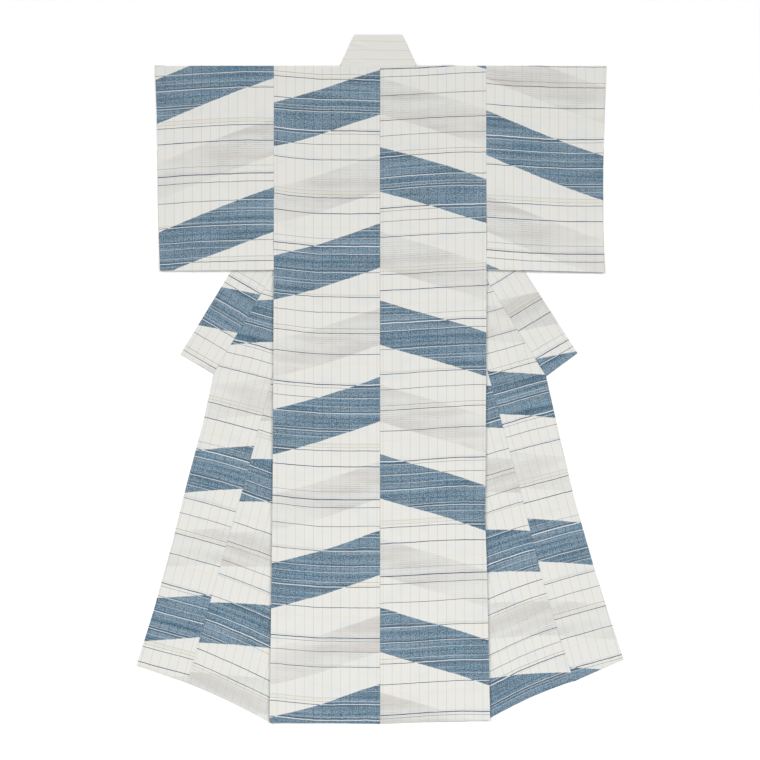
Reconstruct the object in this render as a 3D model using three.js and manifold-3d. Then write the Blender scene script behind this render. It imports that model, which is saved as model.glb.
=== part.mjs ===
// A woman's kimono in tsumugi, a plain-woven silk of hand-spun yarn, laid flat with its back up.
// The fronts are folded outwards under the back, so that the overlap panels and the ends of the open
// collar fan out on both sides, and the back of the collar lies above the shoulder line.
// Millimetres. +X is the wearer's right, +Y is towards the collar, +Z is up. The origin is on the
// surface that the kimono lies on, under the middle of its outline.

import * as THREE from "three";
import { mergeVertices } from "three/addons/utils/BufferGeometryUtils.js";
import Module from "manifold-3d";

const wasm = await Module();
wasm.setup();

// ---------------------------------------------------------------- driving dimensions

const CLOTH = 1.2; // wall of one layer: the silk with its turned edges
const AIR = 0.5; // between layers that lie on each other
const SEAM = 0.4; // between pieces that are sewn edge to edge
const PITCH = CLOTH + AIR; // from one layer to the next

const BODY_LENGTH = 1842; // shoulder to hem, at the centre back
const COLLAR_RISE = 87; // the collar's top above the shoulder line
const COLLAR_TOP_HALF = 66.5; // half the collar's top edge, between its slanting folds
const COLLAR_BASE_HALF = 105.5; // half its width at the shoulder line
const COLLAR_ASIDE = -4.5; // how far it lies from the centre
const NECK_HALF = 115; // half of the neck opening, along the shoulder line
const NECK_DIP = 4; // the back neckline's drop at the centre
const COLLAR_TUCK = 16; // the collar's seam edge, under the back neckline
const TUCK_FADE = [0.75, 0.92]; // where that edge rises to the shoulder line, as shares of its half
const SHOULDER_CLEAR = 2.5; // from the collar's folds to the shoulder folds beside them
const WRIST_OPENING = 230; // sleeve opening, down from the shoulder fold
const SIDE_SEAM_TOP = 360; // armhole and underarm slit, down from the shoulder fold
const FOLD_CUT = 32; // how far below the front neckline the hidden fold is wide enough to turn
const TIP_CUT = 9; // how far below the meeting of its two seams an overlap panel's tip ends

// Outlines of each half as rows of [down, out]: down from the shoulder line, out from the centre back.
const HALVES = {
  left: {
    sign: -1,
    backHem: 1838, // the hem's height at the side, down from the shoulder
    frontHem: 1842, // the fanned front's hem at its hidden fold
    frontBow: 4, // how far that hem curves up
    backEdge: [[0, 297], [577, 297], [1159, 300], [1410, 303], [1838, 309]],
    sleeveEnd: [[0, 630], [131, 625], [284, 622], [442, 620], [574, 615]],
    sleeveDrop: [571, 574], // at the body and at the wrist
    overlapSeam: [[325, 156], [848, 295], [1190, 386], [1481, 470], [1727, 540]],
    frontEdge: [[862, 466], [990, 493], [1159, 538], [1341, 583], [1522, 633], [1679, 682]],
    collarSeam: [[171, 81], [325, 156], [577, 297], [862, 466]],
    collarEdge: [[8, 76], [572, 416], [808, 559]],
  },
  right: {
    sign: 1,
    backHem: 1831,
    frontHem: 1831,
    frontBow: 8,
    backEdge: [[0, 297], [577, 298], [1159, 295], [1260, 294], [1410, 299], [1831, 308]],
    sleeveEnd: [[0, 634], [131, 628], [284, 624], [442, 624], [579, 628]],
    sleeveDrop: [570, 579],
    overlapSeam: [[325, 158], [843, 298], [1170, 388], [1469, 463], [1723, 543]],
    frontEdge: [[869, 465], [1045, 505], [1208, 543], [1407, 600], [1549, 645], [1662, 682]],
    collarSeam: [[171, 81], [325, 158], [577, 284], [869, 465]],
    collarEdge: [[8, 76], [572, 404], [804, 553]],
  },
};
const FRONT_FOLD = [[171, 81], [1838, 300]]; // hidden fold where each front turns outwards
const NECKLINE = [[0, NECK_HALF], [171, 82]]; // front neckline, from the neck point to that fold
const COLLAR_RUN_END = [[158, 75], [-50, 45]]; // where the turned-under collar stops, below and above

// Spacing of the walls' sections, and how a layer settles past the edge of what lies under it.
const SECTION = 46;
const FULL_HEIGHT_REACH = 60;
const SETTLE_LENGTH = 120;
const ROLL_EMBED = 5; // how far a folded edge's wall reaches into the sheets that it joins
const ROLL_SHRINK = 0.08; // a folded edge is this much thinner than the sheets around its roots
const ROLL_STEPS = 4; // facets round a folded edge
const ROLL_REACH = PITCH / 2 + CLOTH / 2; // a folded edge's bulge past the sheets' edges

const SHOULDER_Y = (BODY_LENGTH - COLLAR_RISE) / 2; // puts the origin in the middle of the outline

// ---------------------------------------------------------------- plan geometry

const { lerp, smoothstep } = THREE.MathUtils;

/** A point of one half in plan. */
const plan = (half, down, out) => new THREE.Vector2(half.sign * out, SHOULDER_Y - down);

/** Reads a table of [down, out] rows at any height, straight between its rows. */
function outAt(table, down) {
  const last = table.length - 2;
  let row = 0;
  while (row < last && down > table[row + 1][0]) row += 1;
  const [d0, o0] = table[row];
  const [d1, o1] = table[row + 1];
  return lerp(o0, o1, THREE.MathUtils.clamp((down - d0) / (d1 - d0), 0, 1));
}

/** Evenly spaced [down, out] points along a table's line, with one of them on each of its corners. */
function stations(table, count) {
  const reach = [0];
  table.slice(1).forEach(([down, out], i) => {
    reach.push(reach[i] + Math.hypot(down - table[i][0], out - table[i][1]));
  });
  const steps = Array.from({ length: count + 1 }, (_, i) => (reach.at(-1) * i) / count);
  reach.forEach((corner) => {
    steps[Math.round((corner / reach.at(-1)) * count)] = corner;
  });
  return steps.map((step) => {
    const row = Math.max(1, reach.findIndex((corner) => corner >= step - 1e-6));
    const t = (step - reach[row - 1]) / (reach[row] - reach[row - 1]);
    return [0, 1].map((part) => lerp(table[row - 1][part], table[row][part], t));
  });
}

/** The part of a table's line that lies below a height. */
const below = (table, down) => [[down, outAt(table, down)], ...table.filter((row) => row[0] > down)];

/** Moves a table's line outwards. */
const shifted = (table, by) => table.map(([down, out]) => [down, out + by]);

/** Rows and columns of plan points, from a function of the two shares. */
function gridOf(rows, columns, place) {
  return Array.from({ length: rows + 1 }, (_, i) =>
    Array.from({ length: columns + 1 }, (_, k) => place(i / rows, k / columns)),
  );
}

/** A grid ruled between two lines of one half, from equal shares of their lengths. */
function ruledGrid(half, lineA, lineB, rows, columns, bow = 0) {
  const a = stations(lineA, rows);
  const b = stations(lineB, rows);
  return gridOf(rows, columns, (f, c) => {
    const i = Math.round(f * rows);
    const rise = 4 * c * (1 - c) * bow * f;
    return plan(half, lerp(a[i][0], b[i][0], c) - rise, lerp(a[i][1], b[i][1], c));
  });
}

const rowsFor = (length) => Math.ceil(length / SECTION);

// ---------------------------------------------------------------- how the layers settle

/** Distance from a plan point to a closed outline: 0 inside it. */
function distanceTo(outline, point) {
  let nearest = Infinity;
  let inside = false;
  outline.forEach((a, i) => {
    const b = outline[(i + 1) % outline.length];
    const edge = b.clone().sub(a);
    const share = THREE.MathUtils.clamp(point.clone().sub(a).dot(edge) / edge.lengthSq(), 0, 1);
    nearest = Math.min(nearest, point.distanceTo(a.clone().addScaledVector(edge, share)));
    const crosses = a.y > point.y !== b.y > point.y;
    if (crosses && point.x < a.x + ((point.y - a.y) * (b.x - a.x)) / (b.y - a.y)) inside = !inside;
  });
  return inside ? 0 : nearest;
}

/** 1 over the outlines and a little past them, falling smoothly to 0 where cloth reaches the floor. */
function coverOf(outlines) {
  return (point) => {
    const distance = Math.min(...outlines.map((outline) => distanceTo(outline, point)));
    return 1 - smoothstep(distance, FULL_HEIGHT_REACH, FULL_HEIGHT_REACH + SETTLE_LENGTH);
  };
}

const halves = Object.values(HALVES);
const outlineOf = (half, ...tables) => tables.flat().map(([down, out]) => plan(half, down, out));

// What lies on the floor: each half's fanned front, overlap panel and collar end.
const fanCover = coverOf(
  halves.map((half) => {
    const hem = half.overlapSeam.slice(-1);
    return outlineOf(half, FRONT_FOLD, hem, half.frontEdge.toReversed(), half.collarEdge.toReversed());
  }),
);
// What lies on that under the back: the front's first stretch, and the collar round the neck.
const neckSide = [[-COLLAR_RISE, 0], [-COLLAR_RISE, COLLAR_TOP_HALF], [0, NECK_HALF]];
const tuckSide = [[0, 0], [0, NECK_HALF], [COLLAR_TUCK, NECK_HALF], [COLLAR_TUCK, 0]];
const innerCover = coverOf(
  halves.flatMap((half) => [
    outlineOf(half, NECKLINE, FRONT_FOLD, half.backEdge.toReversed()),
    outlineOf(half, neckSide, tuckSide.slice(2)),
  ]),
);
// The collar's seam edge, tucked between the back and the layers above.
const tuckCover = coverOf(halves.map((half) => outlineOf(half, tuckSide)));

// The middle of each layer's wall above the floor.
const onFloor = () => CLOTH / 2;
const overFan = (p) => CLOTH / 2 + PITCH * fanCover(p);
const oneAbove = (p) => overFan(p) + PITCH;
const backLevel = (p) => overFan(p) + PITCH * (innerCover(p) + tuckCover(p));

// ---------------------------------------------------------------- cloth walls

/** A closed wall between two grids of points that face each other. */
function wallBetween(upper, lower) {
  const rows = upper.length;
  const columns = upper[0].length;
  const positions = [...upper.flat(), ...lower.flat()].flatMap((p) => [p.x, p.y, p.z]);
  const index = (face, i, k) => face * rows * columns + i * columns + k;
  const triangles = [];
  const quad = (a, b, c, d) => triangles.push([a, b, c], [a, c, d]);
  for (let i = 0; i < rows - 1; i += 1) {
    for (let k = 0; k < columns - 1; k += 1) {
      quad(index(0, i, k), index(0, i, k + 1), index(0, i + 1, k + 1), index(0, i + 1, k));
      quad(index(1, i, k), index(1, i + 1, k), index(1, i + 1, k + 1), index(1, i, k + 1));
    }
  }
  for (let i = 0; i < rows - 1; i += 1) {
    quad(index(0, i, 0), index(0, i + 1, 0), index(1, i + 1, 0), index(1, i, 0));
    const e = columns - 1;
    quad(index(0, i + 1, e), index(0, i, e), index(1, i, e), index(1, i + 1, e));
  }
  for (let k = 0; k < columns - 1; k += 1) {
    quad(index(0, 0, k + 1), index(0, 0, k), index(1, 0, k), index(1, 0, k + 1));
    const e = rows - 1;
    quad(index(0, e, k), index(0, e, k + 1), index(1, e, k + 1), index(1, e, k));
  }
  return solidFrom(positions, triangles);
}

/** A manifold solid from positions and triangles, turned so that its faces point out. */
function solidFrom(positions, triangles) {
  const at = (n) => new THREE.Vector3(...positions.slice(3 * n, 3 * n + 3));
  const volume = triangles.reduce((sum, [a, b, c]) => sum + at(a).dot(at(b).cross(at(c))), 0);
  const facing = volume > 0 ? triangles : triangles.map(([a, b, c]) => [a, c, b]);
  const geometry = new THREE.BufferGeometry();
  geometry.setAttribute("position", new THREE.Float32BufferAttribute(positions, 3));
  geometry.setIndex(facing.flat());
  const merged = mergeVertices(geometry, 1e-4);
  return new wasm.Manifold(
    new wasm.Mesh({
      numProp: 3,
      vertProperties: merged.attributes.position.array,
      triVerts: new Uint32Array(merged.index.array),
    }),
  );
}

/** One layer of cloth over a grid of plan points, its middle at the height that level gives. */
function sheet(points, level) {
  const face = (offset) =>
    points.map((row) => row.map((p) => new THREE.Vector3(p.x, p.y, level(p) + offset)));
  return wallBetween(face(CLOTH / 2), face(-CLOTH / 2));
}

/**
 * A folded or seamed edge: cloth that rolls from one layer round to the layer below.
 * edge is a row of plan points, and inward the plan direction in which both layers lie.
 */
function roll(edge, inward, high, low) {
  const thickness = CLOTH - ROLL_SHRINK;
  const angles = Array.from({ length: ROLL_STEPS + 1 }, (_, i) => (Math.PI * i) / ROLL_STEPS);
  const face = (side) =>
    edge.map((p) => {
      const root = p.clone().addScaledVector(inward, ROLL_EMBED);
      const radius = (high(p) - low(p)) / 2;
      const middle = (high(p) + low(p)) / 2;
      const around = (from, angle, z) => {
        const offset = (side * thickness * Math.sin(angle)) / 2;
        const q = from.clone().addScaledVector(inward, -offset);
        return new THREE.Vector3(q.x, q.y, z + (side * thickness * Math.cos(angle)) / 2);
      };
      const bulge = Math.min(radius, PITCH / 2);
      return [
        around(root, 0, high(root)),
        ...angles.map((angle) =>
          around(
            p.clone().addScaledVector(inward, -bulge * Math.sin(angle)),
            angle,
            middle + radius * Math.cos(angle),
          ),
        ),
        around(root, Math.PI, low(root)),
      ];
    });
  return wallBetween(face(1), face(-1));
}

/** A row of plan points along one line of a half. */
const edgeRow = (half, count, place) =>
  Array.from({ length: count + 1 }, (_, i) => plan(half, ...place(i / count)));

// ---------------------------------------------------------------- the pieces

/**
 * A body panel: one length of cloth from the back hem over the shoulder and down to the front hem.
 * Its front lies under the back, turns outwards at the hidden fold and runs out past the side.
 */
function bodyPanel(half) {
  const { sign, backEdge, backHem, frontHem, frontBow, overlapSeam, collarSeam } = half;
  const rows = rowsFor(BODY_LENGTH);
  const seamed = (down) => smoothstep(down, SIDE_SEAM_TOP - SECTION, SIDE_SEAM_TOP);
  const sideOut = (down) => outAt(backEdge, down) - ROLL_REACH * seamed(down);
  const backTop = (out) => (out < NECK_HALF ? NECK_DIP * (1 - (out / NECK_HALF) ** 2) : ROLL_REACH);

  const back = sheet(
    gridOf(rows, 7, (f, c) => {
      const out = lerp(SEAM / 2, sideOut(f * BODY_LENGTH), c);
      return plan(half, lerp(backTop(out), lerp(BODY_LENGTH, backHem, c), f), out);
    }),
    backLevel,
  );

  const inner = [...NECKLINE, ...FRONT_FOLD.slice(1)];
  const firstStretch = sheet(
    gridOf(rows, 5, (f, c) => {
      const down = lerp(ROLL_REACH, backHem, f);
      return plan(half, down, lerp(outAt(inner, down), sideOut(down), c));
    }),
    overFan,
  );

  const top = FRONT_FOLD[0][0] + FOLD_CUT;
  const fold = [[top, outAt(FRONT_FOLD, top)], [frontHem, FRONT_FOLD[1][1]]];
  const outer = shifted([...below(collarSeam.slice(0, 2), top), ...overlapSeam.slice(1)], -SEAM / 2);
  const fanned = sheet(ruledGrid(half, fold, outer, rows, 4, frontBow), onFloor);

  const outwards = new THREE.Vector2(sign, 0);
  const downwards = new THREE.Vector2(0, -1);
  const frontFold = roll(
    stations(fold, rows).map((at) => plan(half, ...at)),
    outwards,
    overFan,
    onFloor,
  );
  const shoulderFold = roll(
    edgeRow(half, 5, (f) => [ROLL_REACH, lerp(NECK_HALF, sideOut(0), f)]),
    downwards,
    backLevel,
    overFan,
  );
  const sideSeam = roll(
    edgeRow(half, rowsFor(BODY_LENGTH - SIDE_SEAM_TOP), (f) => {
      const down = lerp(SIDE_SEAM_TOP, backHem, f);
      return [down, sideOut(down)];
    }),
    outwards.clone().negate(),
    backLevel,
    overFan,
  );
  return [back, firstStretch, shoulderFold, sideSeam, frontFold, fanned];
}

/** An overlap panel: the narrow piece between the front and the collar, cut slanting at its top. */
function overlapPanel(half) {
  const top = half.overlapSeam[0][0] + TIP_CUT;
  const toFront = shifted(below(half.overlapSeam, top), SEAM / 2);
  const toCollar = shifted([...below(half.collarSeam, top), ...half.frontEdge.slice(1)], -SEAM / 2);
  return [sheet(ruledGrid(half, toFront, toCollar, rowsFor(BODY_LENGTH - top), 3), onFloor)];
}

/** One front half of the collar, open to its full width, with a square end. */
function collarHalf(half) {
  const seam = shifted(half.collarSeam, SEAM / 2);
  return [sheet(ruledGrid(half, seam, half.collarEdge, rowsFor(850), 2), onFloor)];
}

/** The stretch of collar round the back of the neck, turned under at its two slanting folds. */
function neckCollar() {
  const across = { sign: 1 }; // columns run from the wearer's left to right, so out may be negative
  const fold = [
    [-SHOULDER_CLEAR, COLLAR_BASE_HALF - ROLL_REACH],
    [-COLLAR_RISE, COLLAR_TOP_HALF - ROLL_REACH],
  ];
  const rows = 4;
  const stand = sheet(
    gridOf(rows, 10, (f, c) => {
      const [down, out] = stations(fold, rows)[Math.round(f * rows)];
      const side = 2 * c - 1;
      const tuck = f === 0 ? COLLAR_TUCK * (1 - smoothstep(Math.abs(side), ...TUCK_FADE)) : 0;
      return plan(across, down + tuck, out * side);
    }),
    oneAbove,
  );
  const sides = halves.flatMap((half) => [
    sheet(ruledGrid(half, COLLAR_RUN_END, fold, rows, 3), overFan),
    roll(
      stations(fold, rows).map((at) => plan(half, ...at)),
      new THREE.Vector2(-half.sign, 0),
      oneAbove,
      overFan,
    ),
  ]);
  return [stand, ...sides];
}

/** A sleeve: one length folded at the shoulder line, closed below and below the wrist opening. */
function sleeve(half) {
  const { sign, backEdge, sleeveEnd, sleeveDrop } = half;
  const innerOut = (down) => outAt(backEdge, down) + SEAM;
  const place = (f, c) => {
    const down = lerp(ROLL_REACH, lerp(...sleeveDrop, c) - ROLL_REACH, f);
    return [down, lerp(innerOut(down), outAt(sleeveEnd, down) - ROLL_REACH, c)];
  };
  const rows = rowsFor(sleeveDrop[1]);
  const grid = gridOf(rows, 8, (f, c) => plan(half, ...place(f, c)));
  const wristShare = WRIST_OPENING / sleeveDrop[1];
  const upwards = new THREE.Vector2(0, 1);
  return [
    sheet(grid, oneAbove),
    sheet(grid, overFan),
    roll(edgeRow(half, 8, (c) => place(0, c)), upwards.clone().negate(), oneAbove, overFan),
    roll(edgeRow(half, 8, (c) => place(1, c)), upwards, oneAbove, overFan),
    roll(
      edgeRow(half, 8, (s) => place(lerp(wristShare, 1, s), 1)),
      new THREE.Vector2(-sign, 0),
      oneAbove,
      overFan,
    ),
  ];
}

// ---------------------------------------------------------------- the model

const cream = new THREE.MeshStandardMaterial({ color: 0xe6e4de, roughness: 0.85, metalness: 0 });
const indigo = new THREE.MeshStandardMaterial({ color: 0x6f8799, roughness: 0.85, metalness: 0 });

/** Joins a piece's walls into one closed body and makes it a named mesh. */
function piece(name, walls, material) {
  const { numProp, vertProperties, triVerts } = walls.reduce((whole, wall) => whole.add(wall)).getMesh();
  const geometry = new THREE.BufferGeometry();
  const positions = new Float32Array((vertProperties.length / numProp) * 3);
  for (let n = 0; n < positions.length / 3; n += 1) {
    positions.set(vertProperties.subarray(n * numProp, n * numProp + 3), n * 3);
  }
  geometry.setAttribute("position", new THREE.BufferAttribute(positions, 3));
  geometry.setIndex(new THREE.BufferAttribute(triVerts, 1));
  geometry.computeVertexNormals();
  const mesh = new THREE.Mesh(geometry, material);
  mesh.name = name;
  return mesh;
}

const kimono = new THREE.Group();
for (const [name, half] of Object.entries(HALVES)) {
  kimono.add(
    piece(`body_${name}`, bodyPanel(half), cream),
    piece(`sleeve_${name}`, sleeve(half), indigo),
    piece(`overlap_${name}`, overlapPanel(half), cream),
    piece(`collar_${name}`, collarHalf(half), cream),
  );
}
const collarNeck = piece("collar_neck", neckCollar(), cream);
collarNeck.position.x = COLLAR_ASIDE;
kimono.add(collarNeck);

export default kimono;
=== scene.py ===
"""A woman's kimono in tsumugi silk, laid flat with its back up and its fronts fanned out beneath.

Metres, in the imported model's frame: +X is the wearer's right, +Y is towards the collar, +Z is up.
Tables of the outlines are in millimetres, as rows of [down from the shoulder, out from the centre].
The sag tables are rows of [out from the seam, how far the weft lies below its higher end].
"""

import math

import bmesh
import bpy
import numpy as np
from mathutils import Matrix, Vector


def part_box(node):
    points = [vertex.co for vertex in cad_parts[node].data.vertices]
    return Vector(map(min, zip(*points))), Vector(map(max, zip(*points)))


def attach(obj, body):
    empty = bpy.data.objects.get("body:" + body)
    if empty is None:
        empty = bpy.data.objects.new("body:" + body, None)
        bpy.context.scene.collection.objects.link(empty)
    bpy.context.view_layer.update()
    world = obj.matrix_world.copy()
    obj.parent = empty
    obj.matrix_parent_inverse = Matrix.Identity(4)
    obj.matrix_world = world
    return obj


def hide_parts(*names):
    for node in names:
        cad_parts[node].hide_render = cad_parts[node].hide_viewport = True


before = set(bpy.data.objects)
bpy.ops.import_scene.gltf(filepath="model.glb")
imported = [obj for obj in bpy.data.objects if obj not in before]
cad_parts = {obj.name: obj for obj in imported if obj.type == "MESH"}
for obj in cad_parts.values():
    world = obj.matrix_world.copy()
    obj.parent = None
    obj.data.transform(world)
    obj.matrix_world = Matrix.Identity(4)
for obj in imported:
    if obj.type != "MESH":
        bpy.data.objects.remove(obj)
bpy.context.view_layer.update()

# ---------------------------------------------------------------- sizes

MM = 0.001
CLOTH = 0.9 * MM  # one layer of lined silk
PITCH = 1.7 * MM  # from the middle of one layer to the next
LOWEST = 0.6 * MM  # middle of the layer that lies on the floor
SEAM = 0.4 * MM  # gap between two lengths that are sewn together
ROLL = PITCH / 2  # radius of a folded edge
STEP = 10 * MM  # spacing of a panel's columns
NECK_STEP = 4 * MM  # the same beside the neck
ROW_STEP = 7 * MM

SHOULDER_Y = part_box("body_left")[1].y
BODY_LENGTH = SHOULDER_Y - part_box("body_left")[0].y
COLLAR_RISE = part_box("collar_neck")[1].y - SHOULDER_Y
COLLAR_TOP_HALF = 66.5 * MM
COLLAR_BASE_HALF = 105.5 * MM
COLLAR_ASIDE = -4.5 * MM  # how far the collar's middle lies from the centre back
COLLAR_FOOT = 1.2 * MM  # how far above the shoulder line its slanting folds start
COLLAR_TUCK = 14 * MM  # how far its middle runs on from there, under the back
COLLAR_WIDTH = 106 * MM  # between its seam and its open edge
NECK_DIP = 4 * MM
SLEEVE_WIDTH = 330 * MM
SLEEVE_DEPTH = 575 * MM
WRIST_OPENING = 230 * MM
WRIST_EASE = 30 * MM  # over which the sleeve's end closes above its seam
SIDE_SEAM_TOP = 360 * MM
SIDE_EASE = 46 * MM  # over which the slit under the arm closes above that
LIFT_EASE = 120 * MM  # over which the back's edge rises below that
PANEL_HALF = 149 * MM  # half of a body panel's width
OVERLAP_WIDTH = 150 * MM
OVERLAP_LENGTH = 1450 * MM
OVERLAP_TIP = 9 * MM  # how far its point stops short of the collar

# The front's bow is how far its weft arches at the hem, and the sleeve's drops are its depth at
# the body and at the wrist.
HALVES = {
    "left": {
        "sign": -1,
        "back_hem": 1838,
        "front_hem": 1842,
        "front_bow": 4,
        "back_edge": [[0, 297], [577, 297], [1159, 300], [1410, 303], [1838, 309]],
        "sleeve_end": [[0, 630], [131, 625], [284, 622], [442, 620], [574, 615]],
        "sleeve_drop": [571, 574],
        "overlap_seam": [[325, 156], [848, 295], [1190, 386], [1481, 470], [1727, 540]],
        "front_edge": [[862, 466], [990, 493], [1159, 538], [1341, 583], [1522, 633], [1679, 682]],
        "collar_seam": [[171, 81], [325, 156], [577, 297], [862, 466]],
        "collar_edge": [[8, 76], [572, 416], [808, 559]],
        "back_sag": [[0, 13], [175, 12], [235, 7], [297, 0]],
        "sleeve_sag": [[0, 0], [75, 0.5], [150, 3], [250, 8], [330, 14]],
    },
    "right": {
        "sign": 1,
        "back_hem": 1831,
        "front_hem": 1831,
        "front_bow": 8,
        "back_edge": [[0, 297], [577, 298], [1159, 295], [1260, 294], [1410, 299], [1831, 308]],
        "sleeve_end": [[0, 634], [131, 628], [284, 624], [442, 624], [579, 628]],
        "sleeve_drop": [570, 579],
        "overlap_seam": [[325, 158], [843, 298], [1170, 388], [1469, 463], [1723, 543]],
        "front_edge": [[869, 465], [1045, 505], [1208, 543], [1407, 600], [1549, 645], [1662, 682]],
        "collar_seam": [[171, 81], [325, 158], [577, 284], [869, 465]],
        "collar_edge": [[8, 76], [572, 404], [804, 553]],
        "back_sag": [[0, 14], [150, 5], [235, 1], [297, 0]],
        "sleeve_sag": [[0, 0], [70, 6], [150, 10], [220, 13], [330, 13]],
    },
}
FRONT_FOLD = np.array([[171, 81], [1838, 300]]) * MM
NECKLINE = np.array([[0, 115], [171, 82]]) * MM
NECK_HALF = NECKLINE[0, 1]
COLLAR_RUN_END = np.array([[158, 75], [-50, 45]]) * MM  # the neck collar's hidden end
# How far each front's weft climbs from the hidden fold to the overlap's seam, as rows of
# [down from the shoulder at the fold, climb].
FAN_CLIMB = np.array([[203, 4], [862, 36], [1400, 67]]) * MM
FOLD_TOP = FAN_CLIMB[0, 0]
for half in HALVES.values():
    for key, table in half.items():
        half[key] = np.array(table) * (1 if key == "sign" else MM)

# ---------------------------------------------------------------- camera, floor and light

MM_PER_PIXEL = 2.8
FRAME_PIXELS = 760
SHOULDER_PIXEL = 66  # the shoulder line's height in the frame
CAMERA_HEIGHT = 12.0
SENSOR = 36.0
FLOOR_HALF = 60.0
FLOOR_WHITE = 0.99


def add_camera():
    view = bpy.data.cameras.new("camera")
    view.sensor_width = SENSOR
    view.lens = SENSOR * CAMERA_HEIGHT / (MM_PER_PIXEL * MM * FRAME_PIXELS)
    camera = bpy.data.objects.new("camera", view)
    above = (FRAME_PIXELS / 2 - SHOULDER_PIXEL) * MM_PER_PIXEL * MM
    camera.location = (0, SHOULDER_Y - above, CAMERA_HEIGHT)
    bpy.context.scene.collection.objects.link(camera)
    bpy.context.scene.camera = camera


def add_floor():
    bm = bmesh.new()
    bmesh.ops.create_grid(bm, x_segments=1, y_segments=1, size=FLOOR_HALF)
    mesh = bpy.data.meshes.new("floor")
    bm.to_mesh(mesh)
    floor = bpy.data.objects.new("floor", mesh)
    bpy.context.scene.collection.objects.link(floor)
    paint = bpy.data.materials.new("floor")
    paint.use_nodes = True
    shader = paint.node_tree.nodes["Principled BSDF"]
    shader.inputs["Base Color"].default_value = (FLOOR_WHITE, FLOOR_WHITE, FLOOR_WHITE, 1)
    shader.inputs["Roughness"].default_value = 0.9
    shader.inputs["Specular IOR Level"].default_value = 0.0
    mesh.materials.append(paint)


STUDIO_LIGHT = 1.115  # how brightly the cloth is lit, where 1 shows a white sheet as white
ROOM_STRENGTH = 0.38
SIDE_STRENGTH = 1.15
SIDE_SPREAD = math.radians(22)
HEM_POWER = 25
HEM_LAMP_SIZE = 2.5
HEM_LAMP_PLACE = (0, -0.95, 2.6)


def aim(light, direction):
    light.rotation_mode = "QUATERNION"
    light.rotation_quaternion = Vector(direction).to_track_quat("-Z", "Y")
    bpy.context.scene.collection.objects.link(light)


def add_light():
    """An even white room, a soft lamp on each side, and a broad one over the hem."""
    world = bpy.data.worlds.new("studio")
    world.use_nodes = True
    world.node_tree.nodes["Background"].inputs["Color"].default_value = (1, 1, 1, 1)
    world.node_tree.nodes["Background"].inputs["Strength"].default_value = ROOM_STRENGTH
    bpy.context.scene.world = world
    for name, side in (("left lamp", -1), ("right lamp", 1)):
        lamp = bpy.data.lights.new(name, "SUN")
        lamp.energy = SIDE_STRENGTH
        lamp.angle = SIDE_SPREAD
        aim(bpy.data.objects.new(name, lamp), (-0.75 * side, -0.5, -0.85))
    lamp = bpy.data.lights.new("hem lamp", "AREA")
    lamp.energy = HEM_POWER
    lamp.size = HEM_LAMP_SIZE
    light = bpy.data.objects.new("hem lamp", lamp)
    light.location = HEM_LAMP_PLACE
    aim(light, (0, 0, -1))
    bpy.context.scene.view_settings.view_transform = "Standard"


# ---------------------------------------------------------------- how the layers lie

FULL_HEIGHT_REACH = 60 * MM
SETTLE_LENGTH = 120 * MM


def smooth(t):
    t = np.clip(t, 0, 1)
    return t * t * (3 - 2 * t)


def out_at(table, down):
    """A table's second column, read at places in its first."""
    return np.interp(down, table[:, 0], table[:, 1])


def outline(half, *tables):
    """A closed outline in plan from tables of [down, out]."""
    rows = np.concatenate(tables)
    return np.stack([half["sign"] * rows[:, 1], SHOULDER_Y - rows[:, 0]], axis=1)


def distance_to(ring, x, y):
    """Distance from points in plan to a closed outline, and 0 inside it."""
    nearest = np.full(x.shape, np.inf)
    inside = np.zeros(x.shape, bool)
    for (ax, ay), (bx, by) in zip(ring, np.roll(ring, -1, axis=0)):
        ex, ey = bx - ax, by - ay
        share = np.clip(((x - ax) * ex + (y - ay) * ey) / (ex * ex + ey * ey), 0, 1)
        nearest = np.minimum(nearest, np.hypot(x - ax - share * ex, y - ay - share * ey))
        crosses = (ay > y) != (by > y)
        inside ^= crosses & (x < ax + (y - ay) * ex / (ey or 1))
    return np.where(inside, 0, nearest)


def cover(rings, x, y):
    """1 over the outlines and a little past them, falling smoothly to 0."""
    distance = np.min([distance_to(ring, x, y) for ring in rings], axis=0)
    return 1 - smooth((distance - FULL_HEIGHT_REACH) / SETTLE_LENGTH)


# Half of the neck's collar above the shoulder line, and half of its tuck below that.
NECK_SIDE = np.array([[-87, 0], [-87, 66.5], [0, 115]]) * MM
TUCK_SIDE = np.array([[0, 0], [0, 115], [16, 115], [16, 0]]) * MM
FAN_RINGS = [
    outline(h, FRONT_FOLD, h["overlap_seam"][-1:], h["front_edge"][::-1], h["collar_edge"][::-1])
    for h in HALVES.values()
]
INNER_RINGS = [outline(h, NECKLINE, FRONT_FOLD, h["back_edge"][::-1]) for h in HALVES.values()]
INNER_RINGS += [outline(h, NECK_SIDE, TUCK_SIDE[2:]) for h in HALVES.values()]
TUCK_RINGS = [outline(h, TUCK_SIDE) for h in HALVES.values()]


# Soft ridges left by folding the kimono away, in millimetres: from x and y to x and y, with y
# counted from the shoulder line, then the ridge's height and half its width.
CREASES = np.array([
    [-366, -24, -371, -420, 0.55, 9],
    [-520, -236, -398, -243, 0.30, 8],
    [-186, -60, -192, -655, 0.42, 10],
    [-262, -1010, -30, -1003, 0.34, 9],
    [-118, -1290, -108, -1660, 0.28, 11],
    [44, -612, 262, -603, 0.40, 9],
    [118, -40, 122, -480, 0.38, 10],
    [206, -900, 214, -1430, 0.30, 12],
    [366, -30, 372, -330, 0.46, 9],
    [412, -268, 590, -260, 0.28, 8],
    [-470, -700, -382, -655, 0.32, 9],
    [-452, -1170, -330, -1220, 0.36, 10],
    [430, -660, 352, -612, 0.30, 9],
    [338, -1216, 500, -1150, 0.38, 10],
    [-562, -1500, -480, -1560, 0.26, 9],
    [-94, 73, -32, 49, 2.0, 4.5],
    [-106, 22, -46, 7, 1.4, 4],
    [58, 22, 84, 12, 0.34, 5],
]) * MM


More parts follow.
